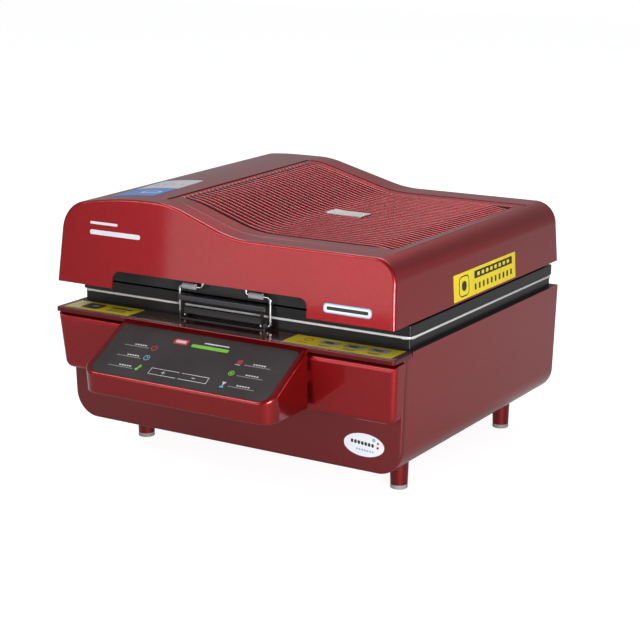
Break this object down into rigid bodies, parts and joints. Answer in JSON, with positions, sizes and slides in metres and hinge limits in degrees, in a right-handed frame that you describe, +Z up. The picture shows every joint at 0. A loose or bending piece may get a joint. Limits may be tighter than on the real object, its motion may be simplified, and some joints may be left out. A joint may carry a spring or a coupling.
{
  "type": "vacuum sublimation press",
  "caption": "Table-top vacuum heat press: red S-curved vented lid, silicone membrane frame, front wire latch, sloped touch panel, work well, vacuum pump.",
  "frame": {"origin": "on the table, under the middle of the whole outline", "axes": "+Y to the rear, along the longest side; +Z up, along the shortest; +X to the right seen from the front"},
  "size_m": [0.555, 0.6163, 0.3805],
  "materials": {
    "red_paint": "glossy metallic",
    "rear_paint": "satin",
    "grey_rubber": "matt",
    "black_rubber": "matt",
    "frame_grey": "satin anodised",
    "black_steel": "satin",
    "grip_grey": "satin",
    "bright_wire": "bright",
    "roller_grey": "satin",
    "plated_screw": "plated",
    "panel_black": "gloss",
    "circuit_green": "satin",
    "bright_tray": "brushed",
    "silicone": "soft translucent",
    "quartz": "clear",
    "ceramic": "matt",
    "steel": "turned",
    "pump_metal": "cast",
    "black_plastic": "moulded"
  },
  "bodies": {
    "base": {"base_shell": "red_paint", "chassis_ring": "black_steel", "console_housing": "red_paint", "control_board": "circuit_green", "control_panel": "panel_black", "deck_plate": "red_paint", "fan_guard": "bright_wire", "fan_housing": "black_plastic", "foot_front_left": "red_paint", "foot_front_right": "red_paint", "foot_pad_front_left": "grey_rubber", "foot_pad_front_right": "grey_rubber", "foot_pad_rear_left": "grey_rubber", "foot_pad_rear_right": "grey_rubber", "foot_rear_left": "red_paint", "foot_rear_right": "red_paint", "frame_gasket": "black_rubber", "front_apron": "red_paint", "front_bezel": "red_paint", "hinge_bracket_left": "rear_paint", "hinge_bracket_right": "rear_paint", "hinge_pins": "plated_screw", "inlet_socket": "black_plastic", "latch_bracket": "black_steel", "latch_screws": "bright_wire", "lower_frame": "frame_grey", "power_board": "circuit_green", "pump_head": "pump_metal", "pump_motor": "pump_metal", "pump_mounts": "black_rubber", "rear_panel": "rear_paint", "rear_screws": "plated_screw", "release_valve": "steel", "switch_housing": "black_plastic", "vacuum_hose": "black_rubber", "vacuum_pan": "bright_tray", "vacuum_tray": "bright_tray"},
    "lid": {"lid_shell": "red_paint", "vent_panel": "red_paint", "heater_housing": "black_steel", "reflector": "bright_tray", "heater_guard": "bright_tray", "heating_tubes": "quartz", "tube_caps": "ceramic", "tube_rails": "bright_tray", "temperature_probe": "steel", "lid_catch": "black_steel", "lid_hinge_arms": "rear_paint"},
    "membrane_frame": {"upper_frame": "frame_grey", "silicone_membrane": "silicone", "membrane_clamp": "frame_grey", "frame_screws": "plated_screw", "frame_hinge_arms": "frame_grey"},
    "lever": {"latch_lever": "black_steel", "lever_grip": "grip_grey"},
    "bail": {"latch_bail": "bright_wire"},
    "roller_left": {"bail_roller_left": "roller_grey"},
    "roller_right": {"bail_roller_right": "roller_grey"},
    "fan": {"fan_rotor": "black_plastic"},
    "rocker": {"rocker_key": "black_plastic"}
  },
  "joints": [
    {"name": "lid_hinge", "type": "hinge", "parent": "base", "child": "lid", "pos_m": [0, 0.30025, 0.25], "axis": [-1, 0, 0], "range_deg": [0, 70]},
    {"name": "membrane_hinge", "type": "hinge", "parent": "base", "child": "membrane_frame", "pos_m": [0, 0.30025, 0.25], "axis": [-1, 0, 0], "range_deg": [0, 35]},
    {"name": "lever_pivot", "type": "hinge", "parent": "base", "child": "lever", "pos_m": [-0.016, -0.16975, 0.222], "axis": [1, 0, 0], "range_deg": [0, 80]},
    {"name": "bail_pivot", "type": "hinge", "parent": "base", "child": "bail", "pos_m": [-0.016, -0.16625, 0.222], "axis": [1, 0, 0], "range_deg": [0, 85]},
    {"name": "left_roller_spin", "type": "hinge", "parent": "bail", "child": "roller_left", "pos_m": [-0.0749, -0.16625, 0.262], "axis": [1, 0, 0], "continuous": true},
    {"name": "right_roller_spin", "type": "hinge", "parent": "bail", "child": "roller_right", "pos_m": [0.0361, -0.16625, 0.262], "axis": [1, 0, 0], "continuous": true},
    {"name": "fan_spin", "type": "hinge", "parent": "base", "child": "fan", "pos_m": [-0.165, 0.27675, 0.108], "axis": [0, 1, 0], "continuous": true},
    {"name": "power_rocker", "type": "hinge", "parent": "base", "child": "rocker", "pos_m": [0.13, 0.28825, 0.096], "axis": [-1, 0, 0], "range_deg": [0, 18]}
  ],
  "couplings": [
    {"joint": "membrane_hinge", "follows": "lid_hinge", "ratio": 0.5}
  ]
}
